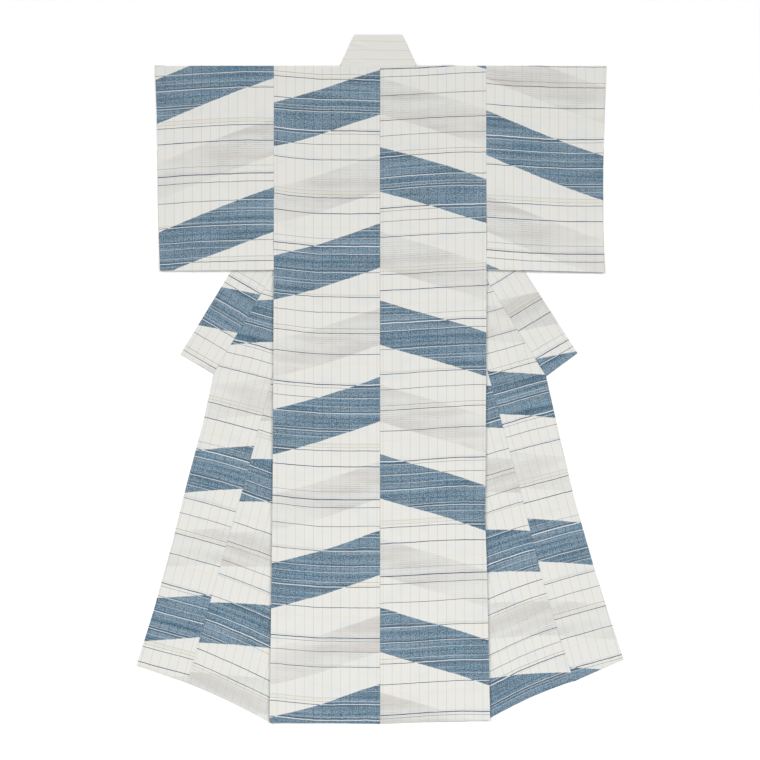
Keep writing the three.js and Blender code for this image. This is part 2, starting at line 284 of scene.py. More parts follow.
def creases(x, y):
    """The height of the ridges, each highest at its middle and gone at its ends."""
    height = 0
    for from_x, from_y, to_x, to_y, tall, half_width in CREASES:
        ex, ey = to_x - from_x, to_y - from_y
        dx, dy = x - from_x, y - SHOULDER_Y - from_y
        share = (dx * ex + dy * ey) / (ex * ex + ey * ey)
        aside = (dx * ey - dy * ex) / math.hypot(ex, ey)
        aside = aside + 0.6 * half_width * np.sin(5 * share + 30 * from_x)
        faded = np.sin(math.pi * np.clip(share, 0, 1)) ** 0.7
        height = height + tall * faded * np.exp(-((aside / half_width) ** 2))
    return height


SLOW_WAVE, QUICK_WAVE = 0.35 * MM, 0.16 * MM  # half the heights of the cloth's waves


def unevenness(x, y):
    """The slight waves of cloth that has been folded away and smoothed out by hand."""
    slow = np.sin(9.1 * x + 2.2 * np.sin(3.7 * y)) * np.sin(7.3 * y + 1.9 * np.sin(5.1 * x) + 0.8)
    quick = np.sin(31 * x + 6 * y + 2.5 * np.sin(9 * y))
    quick = quick * np.sin(23 * y - 5 * x + 2.1 * np.sin(11 * x))
    return SLOW_WAVE * (1 + slow) + QUICK_WAVE * (1 + quick) + creases(x, y)


BACK_LIFT = 3.6 * MM  # how far an edge stands up from what it lies on
BACK_LIFT_REACH = 24 * MM  # and how far in from the edge
SLEEVE_LIFT = 5.6 * MM
SLEEVE_LIFT_REACH = 40 * MM
SLEEVE_LIFT_LOSS = 0.5  # the share of it that is lost towards the wrist
SEAM_LIFT = 0.8 * MM  # how far a seam's turnings raise the cloth over them
SEAM_REACH = 16 * MM  # and how far in from the seam
PUCKER = 0.26 * MM  # height of the puckers that the stitches draw in beside a seam
PUCKER_REACH = 12 * MM
PUCKER_STEP = 4.4 * MM  # sets how closely they follow one another
PUCKER_DRIFT = 33 * MM  # sets how slowly that changes
PUCKER_SWELL = 61 * MM  # sets how slowly their height changes
FOLD_OVER = 0.6 * MM  # how far the left back rises and the right one sinks at their seam
EDGE_DIP = 0.55 * MM  # how deep and how wide a turned edge is rounded
EDGE_ROUND = 1.3 * MM


def on_floor(x, y):
    return LOWEST + unevenness(x, y)


def over_fan(x, y):
    return on_floor(x, y) + PITCH * cover(FAN_RINGS, x, y)


def one_above(x, y):
    return over_fan(x, y) + PITCH


def back_level(x, y):
    return over_fan(x, y) + PITCH * (cover(INNER_RINGS, x, y) + cover(TUCK_RINGS, x, y))


# ---------------------------------------------------------------- cloth

EDGE_STEPS = np.array([0, 0.5, 1.2, 2.4, 4.5]) * MM  # points close to a sewn edge, for its rounding
ROLL_ANGLES = np.linspace(0, math.pi, 8)[1:-1]
HALF_TURN = np.concatenate([[0], ROLL_ANGLES, [math.pi]])
WELD = 0.02 * MM
EDGE_BEVEL = 0.3 * MM
BEVEL_ANGLE = math.radians(60)


def spaced(start, end, fine_start=True, fine_end=True, step=STEP):
    """Places from start to end, about a step apart and closer near a sewn edge."""
    near = EDGE_STEPS if fine_start else EDGE_STEPS[:1]
    far = EDGE_STEPS if fine_end else EDGE_STEPS[:1]
    low, high = start + near[-1], end - far[-1]
    middle = np.linspace(low, high, max(2, round((high - low) / step) + 1))
    return np.concatenate([start + near[:-1], middle, (end - far[:-1])[::-1]])


def rounded(distance):
    """How far a seam's turned edge dips, at a distance from it."""
    return EDGE_DIP * np.exp(-((distance / EDGE_ROUND) ** 2))


def near_edge(distance, reach=SEAM_REACH):
    """1 on an edge, falling softly to 0 beside it."""
    return np.exp(-((distance / reach) ** 2))


def seam(distance, along, start=0.0):
    """How far cloth dips beside a seam: drawn in, over its turnings, with small puckers."""
    wave = np.sin(along / PUCKER_STEP + 1.9 * np.sin(along / PUCKER_DRIFT + start))
    swell = 0.55 + 0.45 * np.sin(along / PUCKER_SWELL + 2 * start)
    puckers = PUCKER * wave * swell * np.exp(-distance / PUCKER_REACH)
    return 2 * rounded(distance) - SEAM_LIFT * near_edge(distance) + puckers


def lay(bm, x, y, z, u, v, keep=None):
    """Lays a grid of cloth through rows of points, its weave at u across and v along the warp.

    Where keep is given, it says which faces stay.
    """
    rows, columns = x.shape
    z = np.maximum(z, CLOTH / 2)  # no layer dips into the floor
    grid = bmesh.ops.create_grid(bm, x_segments=columns - 1, y_segments=rows - 1, size=1)
    made = grid["verts"]
    weave = bm.loops.layers.uv.get("weave") or bm.loops.layers.uv.new("weave")
    spot = {}
    for vert in made:
        row = round((vert.co.y + 1) / 2 * (rows - 1))
        column = round((vert.co.x + 1) / 2 * (columns - 1))
        spot[vert] = (row, column)
        vert.co = (x[row, column], y[row, column], z[row, column])
    cut = []
    for face in {face for vert in made for face in vert.link_faces}:
        corners = [spot[loop.vert] for loop in face.loops]
        for loop, corner in zip(face.loops, corners):
            loop[weave].uv = (u[corner], v[corner])
        row, column = min(corners)
        if keep is not None and not keep[row, column]:
            cut.append(face)
    bmesh.ops.delete(bm, geom=cut, context="FACES")


def finish_cloth(name, bm, material, replaced):
    """Welds the grids, gives the cloth its thickness and names it."""
    bmesh.ops.remove_doubles(bm, verts=bm.verts[:], dist=WELD)
    bmesh.ops.recalc_face_normals(bm, faces=bm.faces[:])
    mesh = bpy.data.meshes.new(name)
    bm.to_mesh(mesh)
    bm.free()
    mesh.shade_smooth()
    mesh.materials.append(material)
    piece = bpy.data.objects.new(name, mesh)
    bpy.context.scene.collection.objects.link(piece)
    wall = piece.modifiers.new("thickness", "SOLIDIFY")
    wall.thickness = CLOTH
    wall.offset = 0
    wall.use_quality_normals = True
    rim = piece.modifiers.new("turned edge", "BEVEL")
    rim.width = EDGE_BEVEL
    rim.segments = 2
    rim.limit_method = "ANGLE"
    rim.angle_limit = BEVEL_ANGLE
    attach(piece, "root")
    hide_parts(replaced)


def turned(x, y, angles, high, low, toward_x, toward_y):
    """The rows of a half-round fold from a high layer to a low one, bulging towards a direction."""
    top, bottom = high(x, y), low(x, y)
    middle, radius = (top + bottom) / 2, (top - bottom) / 2
    bulge = np.minimum(radius, ROLL)
    return (
        np.array([x + toward_x * bulge * math.sin(a) for a in angles]),
        np.array([y + toward_y * bulge * math.sin(a) for a in angles]),
        np.array([middle + radius * math.cos(a) for a in angles]),
    )


class BodyGrid:
    """The rows and columns of a body length, and where its side edge runs."""

    def __init__(self, half):
        self.share = (spaced(0, BODY_LENGTH, False, True, ROW_STEP) / BODY_LENGTH)[:, None]
        self.down = ROLL + self.share * (half["back_hem"] - ROLL)
        closed = smooth((self.down - SIDE_SEAM_TOP) / SIDE_EASE + 1)
        self.edge = out_at(half["back_edge"], self.down) - ROLL * closed
        self.seamed = smooth((self.down - SIDE_SEAM_TOP) / LIFT_EASE)
        self.neck_columns = spaced(SEAM / 2, NECK_HALF, True, False, NECK_STEP)
        side_width = 2 * PANEL_HALF - NECK_HALF
        self.side_share = (spaced(0, side_width, False) / side_width)[None, 1:]

    def lift(self, out):
        """How far the back's sewn side edge stands up."""
        return BACK_LIFT * near_edge(self.edge - out, BACK_LIFT_REACH) * self.seamed


def back_stretch(half, grid):
    """The x, y, z, u and v of the back, from the shoulder down."""
    sign = half["sign"]
    by_neck = np.repeat(grid.neck_columns[None], len(grid.share), 0)
    out = np.hstack([by_neck, NECK_HALF + grid.side_share * (grid.edge - NECK_HALF)])
    top = np.where(out < NECK_HALF - 1e-6, NECK_DIP * (1 - (out / NECK_HALF) ** 2), ROLL)
    bottom = BODY_LENGTH + (half["back_hem"] - BODY_LENGTH) * out / grid.edge
    down = top + grid.share * (bottom - top)
    x, y = sign * out, SHOULDER_Y - down
    dip = seam(out - SEAM / 2, down) + rounded(bottom - down)
    dip += sign * FOLD_OVER * near_edge(out)
    dip += seam(grid.edge - out, down, 2 + sign) * (1 - grid.seamed)
    z = back_level(x, y) - dip + grid.lift(out)
    u, v = out - PANEL_HALF, BODY_LENGTH - down + out_at(half["back_sag"], out)
    return x, y, z, u, v


def fanned_stretch(half, grid):
    """The front's fanned out stretch, from its seam with the overlap panel to the hidden fold.

    Gives its x, y and z, its run from the fold, and the fold's own places down and out.
    """
    sign, front_hem = half["sign"], half["front_hem"]
    seam_end = half["overlap_seam"][-1]
    fold_down = np.maximum(grid.down * front_hem / half["back_hem"], FOLD_TOP)
    fold_out = out_at(FRONT_FOLD, fold_down)
    climbs = np.vstack([FAN_CLIMB, [[front_hem, front_hem - seam_end[0]]]])
    climb = out_at(climbs, fold_down)
    bow = half["front_bow"] * (fold_down / front_hem) ** 2
    seam_line = np.concatenate([half["collar_seam"][:1], half["overlap_seam"]])
    seam_out = out_at(seam_line, fold_down - climb) - SEAM / 2

    # As many columns as bring the whole front level with the back.
    columns = len(grid.neck_columns) - len(ROLL_ANGLES) - 1
    wide = seam_end[1] - FRONT_FOLD[1, 1]
    evenly = np.linspace(EDGE_STEPS[-1], wide, columns - len(EDGE_STEPS) + 1)
    share = 1 - np.concatenate([EDGE_STEPS[:-1], evenly])[None] / wide
    out = fold_out + share * (seam_out - fold_out)
    down = fold_down - share * climb - 4 * share * (1 - share) * bow
    x, y = sign * out, SHOULDER_Y - down
    z = on_floor(x, y) - seam(seam_out - out, down, 1 + sign)
    z -= rounded((1 - grid.share) * half["back_hem"])
    run = np.hypot(out - fold_out, down - fold_down)
    return x, y, z, run, fold_down, fold_out


def front_stretch(half, grid):
    """The x, y, z, u and v of the front: fanned out, turned at the hidden fold, under the back."""
    sign, down = half["sign"], grid.down
    fan_x, fan_y, fan_z, fan_run, fold_down, fold_out = fanned_stretch(half, grid)

    # Under the back, from the hidden fold or the neckline to the side.
    below_neck = down >= NECKLINE[-1, 0]
    inner = np.where(below_neck, out_at(FRONT_FOLD, down), out_at(NECKLINE, down))
    out = inner + np.hstack([[[0.0]], grid.side_share]) * (grid.edge - inner)
    under_x, under_y = sign * out, SHOULDER_Y - np.repeat(down, out.shape[1], 1)
    lift = grid.lift(out)
    under_z = over_fan(under_x, under_y) + lift

    fold_x, fold_y = sign * fold_out[:, 0], SHOULDER_Y - fold_down[:, 0]
    roll = turned(fold_x, fold_y, ROLL_ANGLES[::-1], over_fan, on_floor, -sign, 0)
    roll_x, roll_y, roll_z = (part.T for part in roll)
    roll_z = roll_z + lift[:, :1] * np.linspace(0, 1, len(ROLL_ANGLES) + 2)[None, 1:-1]
    to_fold = grid.edge - fold_out
    at_fold = np.repeat(to_fold, len(ROLL_ANGLES), 1)
    x = np.hstack([fan_x, roll_x, under_x])
    y = np.hstack([fan_y, roll_y, under_y])
    z = np.hstack([fan_z, roll_z, under_z])
    u = PANEL_HALF - np.hstack([to_fold + fan_run, at_fold, grid.edge - out])
    v = BODY_LENGTH + np.repeat(down, u.shape[1], 1)
    return x, y, z, u, v


def body_panel(side_name, half, material, bolt):
    """One length: up the back, over the shoulder, down the front, out at the hidden fold."""
    grid = BodyGrid(half)
    back, front = back_stretch(half, grid), front_stretch(half, grid)

    # The shoulder fold joins the back to the front.
    shoulder = turned(back[0][0], back[1][0], ROLL_ANGLES, back_level, over_fan, 0, 1)
    shoulder += tuple(np.repeat(part[:1], len(ROLL_ANGLES), 0) for part in back[3:])
    strip = [np.vstack([up[::-1], over, down]) for up, over, down in zip(back, shoulder, front)]
    x, y, z, u, v = strip

    # No cloth crosses the neck, or the front above the hidden fold.
    neck = len(grid.neck_columns) - 1
    first_front = len(grid.share) + len(ROLL_ANGLES)
    above_fold = int(np.sum(grid.down < FOLD_TOP))
    keep = np.ones(x.shape, bool)
    keep[len(grid.share) - 1 : first_front + above_fold, :neck] = False
    bm = bmesh.new()
    lay(bm, x, y, z, u, bolt + v, keep)

    # The side seam, from the foot of the underarm slit down.
    rows = grid.down[:, 0] >= SIDE_SEAM_TOP
    side_x, side_y = back[0][rows, -1], back[1][rows, -1]
    sewn = turned(side_x, side_y, HALF_TURN, back_level, over_fan, half["sign"], 0)
    sewn = [part.T for part in sewn]
    sewn[2] += BACK_LIFT * grid.seamed[rows]
    sewn[2][:, 0] = back[2][rows, -1]
    sewn[2][:, -1] = front[2][rows, -1]
    side_v = bolt + back[4][rows, -1:].repeat(len(HALF_TURN), 1)
    lay(bm, *sewn, np.full_like(sewn[0], PANEL_HALF), side_v)
    finish_cloth(f"body_length_{side_name}", bm, material, f"body_{side_name}")


def between(line_a, line_b, rows, across):
    """Points ruled between two lines of [down, out], at equal shares of their lengths."""

    def along(line):
        reach = np.concatenate([[0], np.cumsum(np.hypot(*np.diff(line, axis=0).T))])
        steps = np.linspace(0, reach[-1], rows + 1)
        for corner in reach:
            steps[np.argmin(abs(steps - corner))] = corner
        return np.stack([np.interp(steps, reach, line[:, part]) for part in (0, 1)], axis=1)

    a, b = along(line_a)[:, None], along(line_b)[:, None]
    points = a + across[None, :, None] * (b - a)
    return points[..., 0], points[..., 1]


def below(table, down):
    return np.concatenate([[[down, out_at(table, down)]], table[table[:, 0] > down]])


def moved_out(table, by):
    return table + np.array([[0, by]])


def slanted(down, out, foot, head):
    """The weave's u and v on a strip whose warp runs from a foot to a head, both [down, out]."""
    length = math.hypot(*(head - foot))
    along_down, along_out = (head - foot) / length
    d, o = down - foot[0], out - foot[1]
    return o * -along_down + d * along_out, d * along_down + o * along_out


def fine_share(width):
    return spaced(0, width) / width


OVERLAP_ROWS = 200
COLLAR_ROWS = 130
NECK_ROWS = 36
NECK_COLUMNS = 61
UNDER_NECK_COLUMNS = 8
TUCK_FALL = 8  # how steeply the neck collar's tuck fades with height
TUCK_EASE = 0.16  # the outer share of the collar's width over which it fades
NECK_BEND = 1.1 * MM  # how far its stripes stray from straight, and over what length
NECK_BEND_LENGTH = 30 * MM


def overlap_panel(side_name, half, material, bolt):
    """The panel between the front and the collar, cut slanting along the collar's seam."""
    sign, top = half["sign"], half["overlap_seam"][0, 0] + OVERLAP_TIP
    to_front = moved_out(below(half["overlap_seam"], top), SEAM / 2)
    outer_edge = np.concatenate([below(half["collar_seam"], top), half["front_edge"][1:]])
    across = fine_share(OVERLAP_WIDTH)
    down, out = between(to_front, moved_out(outer_edge, -SEAM / 2), OVERLAP_ROWS, across)
    x, y = sign * out, SHOULDER_Y - down
    u, v = slanted(down, out, half["overlap_seam"][-1], half["overlap_seam"][0])
    wide = np.hypot(out[:, -1] - out[:, 0], down[:, -1] - down[:, 0])[:, None]
    z = on_floor(x, y) - seam(across * wide, down, 3 + sign)
    z -= seam((1 - across) * wide, down, 5 + sign)
    z -= rounded(np.linspace(OVERLAP_LENGTH, 0, len(x))[:, None])
    bm = bmesh.new()
    lay(bm, x, y, z, u + OVERLAP_WIDTH / 2, bolt + v)
    finish_cloth(f"overlap_strip_{side_name}", bm, material, f"overlap_{side_name}")


def collar_half(side_name, half, material, bolt):
    """A front half of the collar, open to its full width."""
    sign = half["sign"]
    across = fine_share(COLLAR_WIDTH)
    seam_line = moved_out(half["collar_seam"], SEAM / 2)
    down, out = between(seam_line, half["collar_edge"], COLLAR_ROWS, across)
    x, y = sign * out, SHOULDER_Y - down
    u, v = slanted(down, out, half["collar_edge"][-1], half["collar_edge"][0])
    z = on_floor(x, y) - seam(across * COLLAR_WIDTH, down, 7 + sign)
    z -= rounded((1 - across) * COLLAR_WIDTH)
    bm = bmesh.new()
    lay(bm, x, y, z, u - COLLAR_WIDTH / 2, bolt + v)
    finish_cloth(f"collar_front_{side_name}", bm, material, f"collar_{side_name}")


def neck_collar(material):
    """The collar round the back of the neck, turned under at its two slanting folds."""
    foot, head = [-COLLAR_FOOT, COLLAR_BASE_HALF - ROLL], [-COLLAR_RISE, COLLAR_TOP_HALF - ROLL]
    fold = np.array([foot, head])
    share = np.linspace(0, 1, NECK_ROWS + 1)[:, None]
    fold_down = fold[0, 0] + share * (fold[1, 0] - fold[0, 0])
    fold_out = fold[0, 1] + share * (fold[1, 1] - fold[0, 1])
    side = np.linspace(-1, 1, NECK_COLUMNS)[None]
    tuck = (1 - share) ** TUCK_FALL * COLLAR_TUCK * smooth((1 - abs(side)) / TUCK_EASE)
    down, out = fold_down + tuck, fold_out * side
    x, y = COLLAR_ASIDE + out, SHOULDER_Y - down
    z = one_above(x, y) - rounded((1 - share) * COLLAR_RISE)
    inward = np.linspace(0, 1, UNDER_NECK_COLUMNS + 1)[:-1]
    under_down, under_out = between(COLLAR_RUN_END, fold, NECK_ROWS, inward)
    parts = []
    for sign in (-1, 1):
        turn_x, turn_y = COLLAR_ASIDE + sign * fold_out[:, 0], SHOULDER_Y - fold_down[:, 0]
        turn = turned(turn_x, turn_y, HALF_TURN[1:], one_above, over_fan, sign, 0)
        rx, ry, rz = (part.T for part in turn)
        ux, uy = COLLAR_ASIDE + sign * under_out[:, ::-1], SHOULDER_Y - under_down[:, ::-1]
        uz = over_fan(ux, uy)
        parts.append([np.hstack(pair) for pair in ((rx, ux), (ry, uy), (rz, uz))])
    left, right = parts
    px = np.hstack([left[0][:, ::-1], x, right[0]])
    py = np.hstack([left[1][:, ::-1], y, right[1]])
    pz = np.hstack([left[2][:, ::-1], z, right[2]])
    bend = NECK_BEND * np.sin(px / NECK_BEND_LENGTH)
    bm = bmesh.new()
    lay(bm, px, py, pz, py - SHOULDER_Y - NECK_STRIPE + bend, px)
    finish_cloth("collar_back", bm, material, "collar_neck")


def sleeve(side_name, half, material, bolt):
    """A sleeve: one length folded at the shoulder line, sewn below and under the wrist opening."""
    sign = half["sign"]
    inner_drop, outer_drop = half["sleeve_drop"]
    across = fine_share(SLEEVE_WIDTH)[None]
    share = (spaced(0, SLEEVE_DEPTH, False, True, ROW_STEP) / SLEEVE_DEPTH)[:, None]
    down = ROLL + share * (inner_drop + (outer_drop - inner_drop) * across - 2 * ROLL)
    inner = out_at(half["back_edge"], down) + SEAM
    closed = smooth((down - WRIST_OPENING) / WRIST_EASE + 1)
    end = out_at(half["sleeve_end"], down) - ROLL * closed
    out = inner + across * (end - inner)
    x, y = sign * out, SHOULDER_Y - down
    sewn_dip = seam(across * SLEEVE_WIDTH, down, 9 + sign)
    open_dip = rounded((1 - across) * SLEEVE_WIDTH) * (down < WRIST_OPENING - WRIST_EASE)
    from_bottom = (1 - share) * inner_drop
    lift = SLEEVE_LIFT * (1 - SLEEVE_LIFT_LOSS * across) * near_edge(from_bottom, SLEEVE_LIFT_REACH)
    high, low = one_above(x, y) - sewn_dip - open_dip + lift, over_fan(x, y) + lift
    shoulder = turned(x[0], y[0], ROLL_ANGLES, one_above, over_fan, 0, 1)
    bottom = turned(x[-1], y[-1], ROLL_ANGLES[::-1], one_above, over_fan, 0, -1)
    bottom[2][:] += lift[-1]
    u = out - inner - SLEEVE_WIDTH / 2
    sag = out_at(half["sleeve_sag"], out - inner)
    upper_v, lower_v = bolt + sag - down, bolt + sag + down
    steps = len(ROLL_ANGLES)
    loop = (
        (x[::-1], shoulder[0], x, bottom[0], x[-1:]),
        (y[::-1], shoulder[1], y, bottom[1], y[-1:]),
        (high[::-1], shoulder[2], low, bottom[2], high[-1:]),
        (u[::-1], u[:1].repeat(steps, 0), u, u[-1:].repeat(steps + 1, 0)),
        (
            upper_v[::-1],
            bolt + sag[:1].repeat(steps, 0),
            lower_v,
            lower_v[-1:].repeat(steps + 1, 0),
        ),
    )
    bm = bmesh.new()
    lay(bm, *(np.vstack(parts) for parts in loop))

    # The seam up the sleeve's end, to the wrist opening.
    rows = down[:, -1] >= WRIST_OPENING
    end_x, end_y = x[rows, -1], y[rows, -1]
    sewn = [part.T for part in turned(end_x, end_y, HALF_TURN, one_above, over_fan, sign, 0)]
    sewn[2] += lift[rows, -1:]
    sewn[2][:, 0] = high[rows, -1]
    sewn[2][:, -1] = low[rows, -1]
    end_v = upper_v[rows, -1:].repeat(len(HALF_TURN), 1)
    lay(bm, *sewn, np.full_like(sewn[0], SLEEVE_WIDTH / 2), end_v)
    finish_cloth(f"sleeve_length_{side_name}", bm, material, f"sleeve_{side_name}")


# ---------------------------------------------------------------- the silk

FEATHER_WIDTH = 2 * PANEL_HALF  # one side of an arrow feather fills the bolt
FEATHER_RISE = 104 * MM  # how far its barbs slant up over that width
FEATHER_PERIOD = 430 * MM  # from one blue feather to the next
BLUE_PART, GREY_PART = (0.0, 0.29), (0.5, 0.74)  # their shares of that period
WARP_STRIPES = 50.8 * MM  # from one ochre warp stripe to the next
OCHRE_PLACE, GREY_PLACE = 12.0, 37.4  # where the two stripes lie in it, in millimetres
WARP_WIDTH = 1.3  # their width in millimetres
NECK_STRIPE = 6.2 * MM  # puts the stripes in their places on the neck's collar
WARP_PITCH, WEFT_PITCH = 0.62 * MM, 0.74 * MM
SLOW_STRAY, QUICK_STRAY = 8 * MM, 2.4 * MM  # range in which hand-set wefts stray
BUNDLE = 1.9 * MM  # width of a bundle of weft threads, tied and dyed as one
BUNDLE_SLIP = 9 * MM  # range in which the bundles lie off their mark
FEATHER_EDGE = 1.4 * MM  # softness of the feathers' slanting edges
HATCH_PERIOD = 5.8 * MM  # from one short grey thread to the next
HATCH_PART = 0.24  # the share of that which it fills
STRIPE_REPEAT = 710 * MM  # length of the weft stripes' order
# Weft stripes: their place in that order and their width, in millimetres, and their strength.
FINE_STRIPES = (
    (22, 2.2, 1.0), (66, 1.8, 1.0), (75, 1.1, 0.5), (171, 1.8, 1.0), (214, 1.7, 0.8),
    (243, 1.3, 0.7), (252, 2.6, 1.0), (338, 1.8, 1.0), (396, 1.8, 1.0), (409, 1.3, 0.6),
    (454, 1.7, 0.8), (497, 1.8, 1.0), (566, 1.6, 0.9), (618, 1.7, 0.9), (640, 2.6, 1.0),
    (662, 1.2, 0.6),
)
UNDYED_STRIPES = (
    (30, 1.2, 0.5), (104, 1.2, 0.6), (120, 1.6, 0.9), (127, 1.1, 0.7), (190, 1.2, 0.5),
    (304, 1.6, 0.9), (311, 1.1, 0.7), (319, 1.1, 0.6), (360, 1.2, 0.5), (436, 1.2, 0.6),
    (506, 1.2, 0.6), (535, 1.4, 0.7), (543, 1.1, 0.5), (648, 1.1, 0.6), (684, 1.5, 0.8),
    (692, 1.1, 0.6),
)
DARK_STRIPES = (
    (25, 2.8, 0.9), (62, 4.2, 0.7), (70, 2.4, 0.9), (117, 3.0, 0.7), (124, 3.2, 0.9),
    (174, 2.8, 1.0), (217, 3.0, 0.6), (248, 5.0, 0.8), (307, 4.0, 0.9), (341, 2.8, 0.8),
    (392, 5.0, 0.7), (400, 3.0, 0.9), (457, 3.0, 0.8), (500, 3.2, 0.9), (538, 2.6, 0.5),
    (570, 4.0, 0.8), (615, 2.4, 0.7), (643, 3.0, 0.9), (687, 2.6, 0.6),
)
OCHRE_STRIPES = (
    (80, 2.0, 0.8), (312, 1.5, 0.5), (401, 1.8, 0.7), (505, 1.5, 0.6), (690, 1.4, 0.5),
)
PALE_STRIPES = (
    (85, 3.4, 0.6), (175, 2.2, 0.5), (257, 2.4, 0.4), (502, 2.6, 0.6), (645, 3.0, 0.5),
)


def dye(red, green, blue):
    """A colour from the 0 to 255 screen values that it has in the studio's light."""
    shown = (((part / 255 + 0.055) / 1.055) ** 2.4 for part in (red, green, blue))
    return tuple(part / STUDIO_LIGHT for part in shown) + (1.0,)


CREAM = dye(230, 230, 226)
WARM_CREAM = dye(231, 229, 223)
COOL_CREAM = dye(222, 226, 225)
COLLAR_CREAM = dye(228, 227, 220)
DEEP_INDIGO = dye(64, 92, 111)
LIGHT_INDIGO = dye(150, 169, 183)
DEEP_BLUE = dye(52, 94, 119)
LIGHT_BLUE = dye(139, 170, 191)
DARK_THREAD = dye(60, 80, 98)
DARK_WARP = dye(78, 88, 92)
WARM_GREY = dye(211, 208, 204)
COOL_GREY = dye(222, 223, 220)
GREY_THREAD = dye(176, 174, 170)
NAVY = dye(46, 70, 98)
WHITE_THREAD = dye(232, 235, 236)
OCHRE = dye(230, 212, 164)
PALE_GREY = dye(196, 203, 207)
OCHRE_WARP = dye(192, 182, 162)
GREY_WARP = dye(176, 184, 178)


class Value:
    """A number in a material's nodes that can be used in sums."""

    def __init__(self, silk, socket):
        self.silk, self.socket = silk, socket

    def _sum(self, operation, *terms):
        return self.silk.math(operation, *terms)

    def __add__(self, other):
        return self._sum("ADD", self, other)

    def __radd__(self, other):
        return self._sum("ADD", other, self)

    def __sub__(self, other):
        return self._sum("SUBTRACT", self, other)

    def __rsub__(self, other):
        return self._sum("SUBTRACT", other, self)

    def __mul__(self, other):
        return self._sum("MULTIPLY", self, other)

    def __rmul__(self, other):
        return self._sum("MULTIPLY", other, self)

    def __truediv__(self, other):
        return self._sum("DIVIDE", self, other)

    def __gt__(self, other):
        return self._sum("GREATER_THAN", self, other)

    def __lt__(self, other):
        return self._sum("LESS_THAN", self, other)


class Silk:
    """Adds nodes to a material and hands their results back as values."""

    def __init__(self, name):
        self.material = bpy.data.materials.new(name)
        self.material.use_nodes = True
        self.tree = self.material.node_tree
        self.shader = self.tree.nodes["Principled BSDF"]

    def node(self, kind, settings, sockets, output=0):
        made = self.tree.nodes.new(kind)
        for name, value in settings.items():
            setattr(made, name, value)
        for name, value in sockets.items():
            self.feed(made.inputs[name], value)
        return Value(self, made.outputs[output])

    def feed(self, socket, value):
        if isinstance(value, Value):
            self.tree.links.new(value.socket, socket)
        else:
            socket.default_value = value

    def math(self, operation, *terms):
        return self.node("ShaderNodeMath", {"operation": operation}, dict(enumerate(terms)))

    def mix(self, share, first, second):
        settings = {"data_type": "RGBA", "clamp_factor": True}
        return self.node("ShaderNodeMix", settings, {0: share, 6: first, 7: second}, 2)

    def noise(self, u, v, seed, detail=1.0):
        at = self.node("ShaderNodeCombineXYZ", {}, {"X": u, "Y": v, "Z": seed})
        sockets = {"Vector": at, "Scale": 1.0, "Detail": detail, "Roughness": 0.55}
        return self.node("ShaderNodeTexNoise", {"noise_dimensions": "3D"}, sockets)

    def stray(self, u, v, seed, amount, detail=1.0):
        """Noise that strays to both sides of 0."""
        return (self.noise(u, v, seed, detail) - 0.5) * amount

    def limited(self, value):
        return self.node("ShaderNodeClamp", {}, {"Value": value})

    def within(self, value, low, high, softness):
        """1 between low and high, with soft sides."""
        inside = (high - low) / 2 - self.math("ABSOLUTE", value - (low + high) / 2)
        return self.limited(inside / softness + 0.5)

    def stripes(self, place, table):
        """The strength of the stripes in a table of [middle, width, strength], in millimetres."""
        total = 0.0
        for middle, width, strength in table:
            total = self.math("COMPARE", place, middle * MM, width * MM / 2) * strength + total
        return self.limited(total)


class Yarn:
    """The bolt's own places and the unevenness of its hand-spun thread, for one material."""

    def __init__(self, silk):
        weave = silk.node("ShaderNodeUVMap", {"uv_map": "weave"}, {})
        u = self.u = silk.node("ShaderNodeSeparateXYZ", {}, {0: weave}, 0)
        v = silk.node("ShaderNodeSeparateXYZ", {}, {0: weave}, 1)
        # Hand-set wefts lie in slight waves.
        slow = silk.stray(u * 5, v * 3.1, 3.0, SLOW_STRAY)
        quick = silk.stray(u * 34, v * 12, 4.0, QUICK_STRAY)
        v = self.v = v + slow + quick
        self.slub = silk.noise(u * 90, v * 400, 1.0)
        self.band = silk.noise(u * 3, v * 100, 2.0, 3.0)
        self.grain = silk.noise(u * 310, v * 380, 5.0, 2.0)
        self.cloud = silk.noise(u * 9, v * 16, 7.0, 2.0)


def finish_silk(silk, yarn, colour):
    """The surface of plain weave with thick and thin threads, in a colour."""
    silk.feed(silk.shader.inputs["Base Color"], colour)
    silk.feed(silk.shader.inputs["Roughness"], 0.9)
    silk.feed(silk.shader.inputs["Specular IOR Level"], 0.25)
    warp = silk.math("SINE", yarn.u * (2 * math.pi / WARP_PITCH))
    weft = silk.math("SINE", yarn.v * (2 * math.pi / WEFT_PITCH))
    height = warp * weft * 0.5 + yarn.slub * 1.6 + yarn.grain * 0.9
    relief = {"Strength": 0.35, "Distance": 0.12 * MM, "Height": height}
    silk.feed(silk.shader.inputs["Normal"], silk.node("ShaderNodeBump", {}, relief))
    return silk.material


def warp_striped(silk, yarn, colour, ochre, grey, strength=0.5):
    """Lays the two thin stripes of the warp over a colour."""
    order = silk.math("WRAP", yarn.u, WARP_STRIPES, 0.0)
    broken = strength * (0.7 + 0.6 * yarn.grain)
    for place, thread in ((OCHRE_PLACE, ochre), (GREY_PLACE, grey)):
        stripe = silk.stripes(order, ((place, WARP_WIDTH, 1.0),))
        colour = silk.mix(stripe * broken, colour, thread)
    return colour


def plain_silk():
    """The undyed end of the bolt, as cut for the collar at the neck."""
    silk = Silk("plain silk")
    yarn = Yarn(silk)
    thread = silk.limited(0.5 + (yarn.slub - 0.5) * 1.6 + (yarn.cloud - 0.5))
    colour = silk.mix(thread, COLLAR_CREAM, WARM_CREAM)
    return finish_silk(silk, yarn, warp_striped(silk, yarn, colour, OCHRE_WARP, GREY_WARP))


